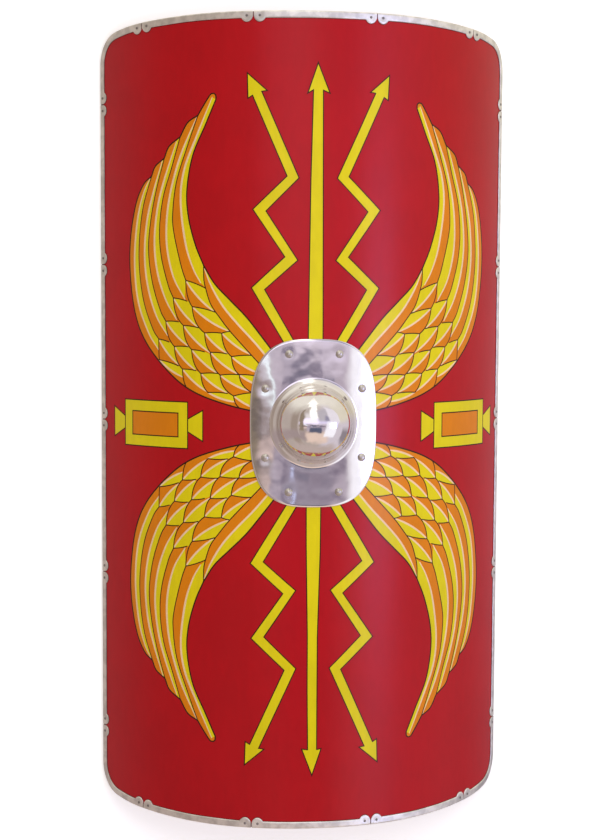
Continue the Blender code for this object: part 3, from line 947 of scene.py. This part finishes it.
def nailSpots(start, end):
    # The middle of the lobe at each end of a piece
    radius = binding["lobeRadius"]
    return [insideOutline(run, lobeMiddle) for run in (start + radius, end - radius)]


def makeBindings():
    calmRun = binding["wanderCalm"]
    for name, (start, end) in zip(binding["clockwise"], bindingEnds()):
        sections, nails = [], nailSpots(start, end)
        for run, reach in bindingStations(start, end):
            place, inward = outlineAt(run)
            calm = min(1, (run - start) / calmRun, (end - run) / calmRun)
            stray = noise.noise(Vector((*place, 0.1)) * binding["wanderPitch"])
            reach += binding["wander"] * calm * stray
            section = []
            for depth, w in channelSection(reach):
                flat = place + inward * depth
                if w > gap + binding["sheet"] / 2:
                    w -= dented(flat, nails)
                section.append(wrap(flat.x, flat.y, w))
            sections.append(section)
        draft = Draft()
        draft.loft(sections, True)
        draft.piece("folded_" + name, dullSheet, "binding_metal", "binding_" + name,
                    creaseAngle=binding["creaseAngle"])


def makeNails():
    front = gap + binding["sheet"]
    back = -shield["thickness"] - front
    radius, height, shank = nail["radius"], nail["height"], nail["shank"]
    profile = [(radius * sin(turn), front + height * cos(turn))
               for turn in quarterTurns(nail["headSteps"])]
    profile += [(shank, front), (shank, back)]
    radius, height = radius * nail["tailRadius"], height * nail["tailHeight"]
    profile += [(radius * sin(turn), back - height * cos(turn))
                for turn in reversed(quarterTurns(nail["tailSteps"]))]
    draft = Draft()
    for ends in bindingEnds():
        for spot in nailSpots(*ends):
            draft.turned(profile, nail["sides"], lambda a, b, h: wrap(spot.x + a, spot.y + b, h))
    draft.piece("binding_nails", nailSteel, "binding_metal")


# Grip: a carved bar across the hand hole, screwed to the board from behind

grip = {
    "drop": 0.047,            # from the board's back at the middle line to the underside
    "footStart": 0.25, "footEnd": 0.40,   # radians round the board
    "footWidth": 0.036, "barWidth": 0.030, "barDepth": 0.026, "barHalfLength": 0.052,
    "swell": 0.001, "swellEnd": 0.025,
    "shoulderRun": 0.012, "shoulderRise": 0.003,
    "barRound": 0.012, "shoulderRound": 0.009, "footRound": 0.005,
    "roundSteps": 6, "stations": 44,
}
backRadius = frontRadius - shield["thickness"]
gripUnder = axisZ + backRadius - grip["drop"]

screw = {
    "place": (0.103, 0.010),
    "shankRadius": 0.002, "headRadius": 0.0042, "headHeight": 0.0018, "headSteps": 6,
    "tipRadius": 0.001, "bite": 0.0045,
    "slotWidth": 0.0009, "slotDepth": 0.0008, "slotReach": 1.3,
    "slotTurn": 25, "slotTurnEach": 47,    # degrees, so that no two slots are in line
    "sides": 32,
}


def gripSection(x, halfWidth, top, radius):
    steps = grip["roundSteps"]
    low, high, inset = gripUnder + radius, top - radius, halfWidth - radius
    places = []
    for quarter, (y, z) in enumerate(((inset, high), (-inset, high), (-inset, low), (inset, low))):
        for step in range(steps + 1):
            turn = pi / 2 * (quarter + step / steps)
            places.append(Vector((x, middleV + y + radius * cos(turn), z + radius * sin(turn))))
    return places


def gripShape(x):
    # (half width, top, edge radius) of the bar at a distance from its middle
    barTop = gripUnder + grip["barDepth"]
    footX = backRadius * sin(grip["footStart"])
    shoulderX = footX - grip["shoulderRun"]
    footTop = axisZ + sqrt(backRadius ** 2 - x ** 2) - gap
    barHalf, footHalf = grip["barWidth"] / 2, grip["footWidth"] / 2
    stations = [
        (0, barHalf + grip["swell"], barTop + grip["swell"], grip["barRound"]),
        (grip["swellEnd"], barHalf, barTop, grip["barRound"]),
        (grip["barHalfLength"], barHalf, barTop, grip["barRound"]),
        (shoulderX, (barHalf + footHalf) / 2, barTop + grip["shoulderRise"], grip["shoulderRound"]),
        (footX, footHalf, footTop, grip["footRound"]),
    ]
    if x >= footX:
        return footHalf, footTop, grip["footRound"]
    before, after = next(pair for pair in zip(stations, stations[1:]) if x <= pair[1][0])
    share = (x - before[0]) / (after[0] - before[0])
    share = share * share * (3 - 2 * share)
    return [a + (b - a) * share for a, b in zip(before[1:], after[1:])]


def makeGrip():
    end, count = backRadius * sin(grip["footEnd"]), grip["stations"]
    half = [end * (k / count) for k in range(count + 1)]
    spots = [-x for x in reversed(half[1:])] + half
    draft = Draft()
    draft.loft([gripSection(x, *gripShape(abs(x))) for x in spots], True)
    draft.piece("grip_carved", gripWood, "grip_wood", "grip")


def makeScrews():
    under = gripUnder - gap
    foot = under - screw["headHeight"]
    x, y = screw["place"]
    for count, (a, b) in enumerate([(-x, y), (x, y), (-x, -y), (x, -y)], 1):
        tip = axisZ + sqrt(backRadius ** 2 - a ** 2) + screw["bite"]
        profile = [(0, tip), (screw["tipRadius"], tip),
                   (screw["shankRadius"], tip - screw["shankRadius"]), (screw["shankRadius"], under)]
        profile += [(screw["headRadius"] * cos(turn), under - screw["headHeight"] * sin(turn))
                    for turn in quarterTurns(screw["headSteps"])[:-1]]
        draft = Draft()
        draft.turned(profile + [(0, foot)], screw["sides"],
                     lambda p, q, h: Vector((a + p, middleV + b + q, h)))
        name = f"grip_screw_{count}"
        piece = draft.piece(name + "_slotted", screwSteel, "screw_steel", name)
        turn = radians(screw["slotTurn"] + screw["slotTurnEach"] * count)
        cutSlot(piece, Vector((a, middleV + b, foot)), turn)


def cutSlot(piece, place, turn):
    across = Vector((cos(turn), sin(turn), 0)) * screw["headRadius"] * screw["slotReach"]
    side = Vector((-sin(turn), cos(turn), 0)) * screw["slotWidth"] / 2
    down = Vector((0, 0, screw["slotDepth"]))
    ring = [place - across - side, place + across - side, place + across + side, place - across + side]
    draft = Draft()
    draft.loft([[corner - down for corner in ring], [corner + down for corner in ring]], True)
    cutter = newObject("slotCutter", draft.mesh("slotCutter"))
    cut = piece.modifiers.new("slot", "BOOLEAN")
    cut.operation, cut.solver, cut.object = "DIFFERENCE", "EXACT", cutter
    bpy.context.view_layer.objects.active = piece
    with bpy.context.temp_override(object=piece, active_object=piece, selected_objects=[piece]):
        bpy.ops.object.modifier_apply(modifier=cut.name)
    bpy.data.objects.remove(cutter)


# Finishes

woods = {
    # Tones from dark to light, the axis that the grain runs along and the size of its streaks
    "grip wood": (((88, 52, 26), (134, 84, 44), (164, 110, 62)), "X", 0.003),
    "back veneer": (((150, 112, 70), (190, 150, 102), (208, 172, 122)), "Y", 0.005),
}
wood = {
    "tonePlaces": (0.34, 0.52, 0.68),
    "grainStretch": 0.06, "ringSize": 7, "grainShare": 0.55,
    "roughness": 0.48, "roughSpread": 0.2,
    "relief": 0.0002, "reliefStrength": 0.5,
}
ply = {
    "light": (196, 160, 112), "dark": (128, 92, 56),
    "pitch": 0.0016, "softness": 0.4,
    "grainStretch": 0.1, "grainSize": 0.0015,
    "roughness": 0.6, "roughSpread": 0.2,
    "relief": 0.0002, "reliefStrength": 0.6,
}
steels = {
    # Colour, roughness, height of the scratches and of the waves in mm, tone of the duller spots
    "mirror steel": ((232, 228, 226), 0.05, 0.003, 0.12, 0.96),
    "rivet steel": ((205, 200, 192), 0.22, 0.03, 0.1, 0.86),
    "nail steel": ((150, 145, 140), 0.35, 0.03, 0.1, 0.86),
    "screw steel": ((180, 176, 170), 0.3, 0.03, 0.1, 0.86),
    "dull sheet": ((242, 239, 231), 0.27, 0.05, 0.3, 0.76),
}
steel = {
    "scratchSize": 0.0012, "scratchStretch": 0.15,
    "waveSize": 0.03,
    "spotSize": 0.012, "spotRange": (0.35, 0.65),
    "spotRough": 0.8,         # how much rougher than the rest the spots are
}


def woodFinish(name):
    tones, along, streak = woods[name]

    def build(tree):
        stretch = [wood["grainStretch"] if axis == along else 1.0 for axis in "XYZ"]
        place = tree.place().stretch(*stretch)
        grain = tree.cloud(place, streak, 5)
        rings = tree.cloud(place, streak * wood["ringSize"])
        tone = grain * wood["grainShare"] + rings * (1 - wood["grainShare"])
        stops = [(at, screenColour(*colour)) for at, colour in zip(wood["tonePlaces"], tones)]
        shade = tree.add("ShaderNodeValToRGB", {"stops": stops}, {"Fac": tone})
        relief = tree.bump(grain, wood["relief"], wood["reliefStrength"])
        return {"Base Color": shade, "Normal": relief,
                "Roughness": wood["roughness"] + grain * wood["roughSpread"]}
    return newFinish(name, build)


def plyFinish(name):
    def build(tree):
        place = tree.place()
        x, z = place.axis("X"), place.axis("Z") - axisZ
        radius = (x * x + z * z).maths("SQRT")
        layer = (radius * (2 * pi / ply["pitch"])).maths("SINE").step(-ply["softness"], ply["softness"])
        grain = tree.cloud(place.stretch(1, ply["grainStretch"], 1), ply["grainSize"])
        shade = tree.mix(layer, screenColour(*ply["light"]), screenColour(*ply["dark"]))
        relief = tree.bump(grain, ply["relief"], ply["reliefStrength"])
        return {"Base Color": shade, "Normal": relief,
                "Roughness": ply["roughness"] + grain * ply["roughSpread"]}
    return newFinish(name, build)


def steelFinish(name):
    colour, roughness, scratch, wave, spotTone = steels[name]
    bright = screenColour(*colour)
    dull = [value * spotTone for value in bright[:3]] + [1]

    def build(tree):
        place = tree.place()
        fine = tree.cloud(place.stretch(1, steel["scratchStretch"], 1), steel["scratchSize"], 4)
        wide = tree.cloud(place, steel["waveSize"], 2)
        spots = tree.cloud(place, steel["spotSize"], 4)
        return {"Base Color": tree.mix(spots.step(*steel["spotRange"]), dull, bright), "Metallic": 1.0,
                "Roughness": roughness + spots * roughness * steel["spotRough"],
                "Normal": tree.bump(fine * scratch + wide * wave, mm)}
    return newFinish(name, build)


mirrorSteel = steelFinish("mirror steel")
rivetSteel = steelFinish("rivet steel")
nailSteel = steelFinish("nail steel")
screwSteel = steelFinish("screw steel")
dullSheet = steelFinish("dull sheet")
gripWood = woodFinish("grip wood")
paints = {name: paintFinish(name) for name in ("red", "yellow", "orange", "cream", "line", "shade")}

print("front paint")
layWholeFront()
facingMesh = sheetMesh("painted_facing", coats, 0, -paint["thickness"], paints, "red", "red")
addPiece("painted_facing", facingMesh, "painted_board")
print("faces in the front:", len(facingMesh.polygons))

print("board")
coreLayers = [("veneer", boardOutline()), *holeLayers()]
coreFinishes = {"veneer": woodFinish("back veneer"), "ply": plyFinish("ply edge")}
coreMesh = sheetMesh("plywood_core", coreLayers, -paint["thickness"], -shield["thickness"],
                     coreFinishes, "veneer", "ply")
addPiece("plywood_core", coreMesh, "painted_board", "board")

print("boss and rivets")
makeBoss()
makeRivets()
print("edge binding")
makeBindings()
makeNails()
print("grip and screws")
makeGrip()
makeScrews()


# Floor, light and camera

stage = {
    "floorSize": 12,
    "floorColour": screenColour(224, 224, 224),
    "farColour": screenColour(196, 194, 192),
    "floorRoughness": 0.9,
    "floorDrop": 0.0004,      # clear of the long edges that rest on it
    "floorGlow": 0.43,        # painted light: the floor glows near the middle, so the shield casts hardly any shadow
    "glowEnds": (0.75, 1.6),
    "cameraPlace": (-0.2496, 0.1903, 2.3813),
    "cameraTurn": (-0.0806, -0.1035, 0.0049),
    "lens": 74.6,
    "lampPlace": (0.10, 0.25, 1.40),
    "lampSize": (0.6, 0.6),
    "lampPower": 7,
}


def makeFloor():
    half = stage["floorSize"] / 2
    corners = [(-half, -half, 0), (half, -half, 0), (half, half, 0), (-half, half, 0)]

    def build(tree):
        place = tree.place()
        x, y = place.axis("X"), place.axis("Y")
        # Painted pool of light: within glowEnds of the middle the floor is lighter and glows, and beyond
        # it turns darker with no glow
        far = (x * x + y * y).maths("SQRT").step(*stage["glowEnds"])
        shade = tree.mix(far, stage["floorColour"], stage["farColour"])
        glow = tree.mix(far, (1, 1, 1, 1), (0, 0, 0, 1))
        return {"Base Color": shade, "Roughness": stage["floorRoughness"], "Emission Color": glow,
                "Emission Strength": stage["floorGlow"]}

    mesh = newMesh("floor", corners, [(0, 1, 2, 3)], [newFinish("pale floor", build)])
    floor = newObject("floor", mesh)
    floor.location.z = -stage["floorDrop"]
    floor.visible_glossy = False


# The room by direction, in degrees: across from the left, along towards the shield's top edge.
# Each patch: across from, across to, along from, along to, softness, colour, any lean.
room = {
    "tent": (0.56, 0.48, 0.44),
    "wander": (0.5, 0.35),    # how much edges stray across and along, more so away from overhead
    "wanderSize": 0.22,
    "patches": (
        (-78, -36, -400, 400, 8, (0.42, 0.34, 0.29)),
        (14, 400, -400, 400, 14, (0.78, 0.71, 0.8)),
        (-400, 20, -34, -13, 7, (0.45, 0.36, 0.36)),
        (88, 400, -34, -11, 7, (0.33, 0.29, 0.33)),
        (45, 400, 2, 60, 7, (0.88, 0.82, 0.68)),
        (-400, 400, 36, 400, 20, (1, 0.95, 0.86)),
        (-28, 12, 62, 86, 8, (1.25, 1.2, 1.1)),
        (-24, 8, 52, 70, 9, (2, 2, 1.9)),
        (-400, 400, -400, -48, 12, (0.6, 0.49, 0.46)),
        (-30, -12, -12, 4, 3, (0.5, 0.41, 0.4)),              # wall on the left
        (-30, -15, -3.45, 4, 0.5, (0.68, 0.6, 0.7)),
        (-19, -15, -4.4, -3.4, 0.5, (0.8, 0.75, 0.85)),
        (-30, -13, -5.4, -4.1, 0.5, (0.33, 0.26, 0.26)),
        (-30, -12, -6.7, -5.5, 0.5, (0.72, 0.56, 0.54)),
        (-30, -6, -9, -6.8, 0.6, (0.92, 0.73, 0.7)),
        (-14.5, 22, -15.6, 0, 1.2, (0.58, 0.5, 0.6)),         # ceiling over the shield
        (-14.5, 22, -2.8, 0, 0.4, (0.82, 0.72, 0.83)),
        (-16, -4, -2.45, 0, 0.2, (0.36, 0.3, 0.36)),
        (-9, 10.5, -3.75, -2.85, 0.3, (0.1, 0.08, 0.16)),
        (-9, 21.5, -6.95, -5.5, 0.5, (0.29, 0.24, 0.32)),
        (-14.5, -7, -6.5, -5.8, 0.4, (0.18, 0.15, 0.24)),
        (-17, 29, -38, -16.5, 4.5, (0.95, 0.74, 0.64)),
        (-9, 15, -17.5, -8, 1.8, (0.13, 0.14, 0.22)),         # people beside the shield
        (-5, 4, -5.8, -3.8, 0.35, (0.2, 0.2, 0.28)),
        (11, 16, -5.8, -3.9, 0.35, (0.25, 0.24, 0.33)),
        (-18, -3, 1, 20, 4, (0.95, 0.9, 0.93)),
        (-17.5, -12.5, 12, 22, 2, (0.22, 0.21, 0.25), -0.6),
        (-33.5, 9, -0.6, 10, 3, (1.35, 1.25, 1.6), 1.4),      # long overhead panel
        (9, 60, -0.6, 10, 3.5, (1, 0.92, 1.3)),
        (7.5, 31, 4, 26, 3.5, (0.62, 0.58, 0.65)),
        (21, 31, 4, 14, 3, (0.36, 0.34, 0.47)),
        (34, 70, 2, 30, 2.5, (1, 0.95, 1.05), -0.43),
        (-15, 4, 38, 60, 7, (1.8, 1.8, 1.7)),
        (-4.5, 8, 10, 58, 3.5, (2, 2, 1.95), -0.1),           # bright lamp
        (-35, -30.5, -22, 36, 2, (0.6, 0.51, 0.48)),          # door frame
        (-29, -21, -13, 30, 1.6, (0.34, 0.27, 0.2)),
        (-24, -19.3, -5.3, -4.3, 0.4, (0.15, 0.12, 0.12)),
        (25, 48, -26, 3, 2.5, (1.18, 1.17, 1.28), 0.2),       # window
        (31.5, 46, -8.5, 0, 1.5, (4.2, 4.5, 9)),
        (-23.3, -22, -4.3, -1, 0.4, (1.6, 1.9, 2), -2.2),
        (16, 22.5, -6.8, -5.8, 0.5, (0.2, 0.16, 0.24)),
        (-5.5, -3.8, -6.5, -6.1, 0.25, (1.5, 1.7, 2.6)),
    ),
}


def makeLight():
    world = bpy.data.worlds.new("soft room")
    bpy.context.scene.world = world
    world.use_nodes = True
    tree = NodeTree(world.node_tree)
    toward = tree.place(0)
    x, y, z = (toward.axis(name) for name in "XYZ")
    across = x.maths("ARCTAN2", z) * (180 / pi)
    along = y.maths("ARCSINE") * (180 / pi)
    strays = [tree.cloud(toward.stretch(side, 1, 1), room["wanderSize"], 2) - 0.5 for side in (1, -1)]
    across = across + along * strays[0] * room["wander"][0]
    along = along + along * strays[1] * room["wander"][1]
    colour = (*room["tent"], 1)
    for left, right, low, high, soft, patch, *lean in room["patches"]:
        turn = across - along * lean[0] if lean else across
        inside = turn.between(left, right, soft) * along.between(low, high, soft)
        colour = tree.mix(inside, colour, (*patch, 1))
    background = tree.add("ShaderNodeBackground", {}, {"Color": colour})
    tree.add("ShaderNodeOutputWorld", {}, {"Surface": background})

    lamp = bpy.data.lights.new("high lamp", "AREA")
    lamp.shape = "RECTANGLE"
    lamp.size, lamp.size_y = stage["lampSize"]
    lamp.energy = stage["lampPower"]
    holder = newObject("high lamp", lamp)
    holder.location = stage["lampPlace"]
    holder.visible_camera = holder.visible_glossy = False


def makeCamera():
    camera = newObject("camera", bpy.data.cameras.new("camera"))
    camera.location = stage["cameraPlace"]
    camera.rotation_mode = "ZXY"
    camera.rotation_euler = stage["cameraTurn"]
    camera.data.lens = stage["lens"]
    bpy.context.scene.camera = camera


print("floor, light and camera")
makeFloor()
makeLight()
makeCamera()
bpy.context.scene.view_settings.view_transform = "Standard"
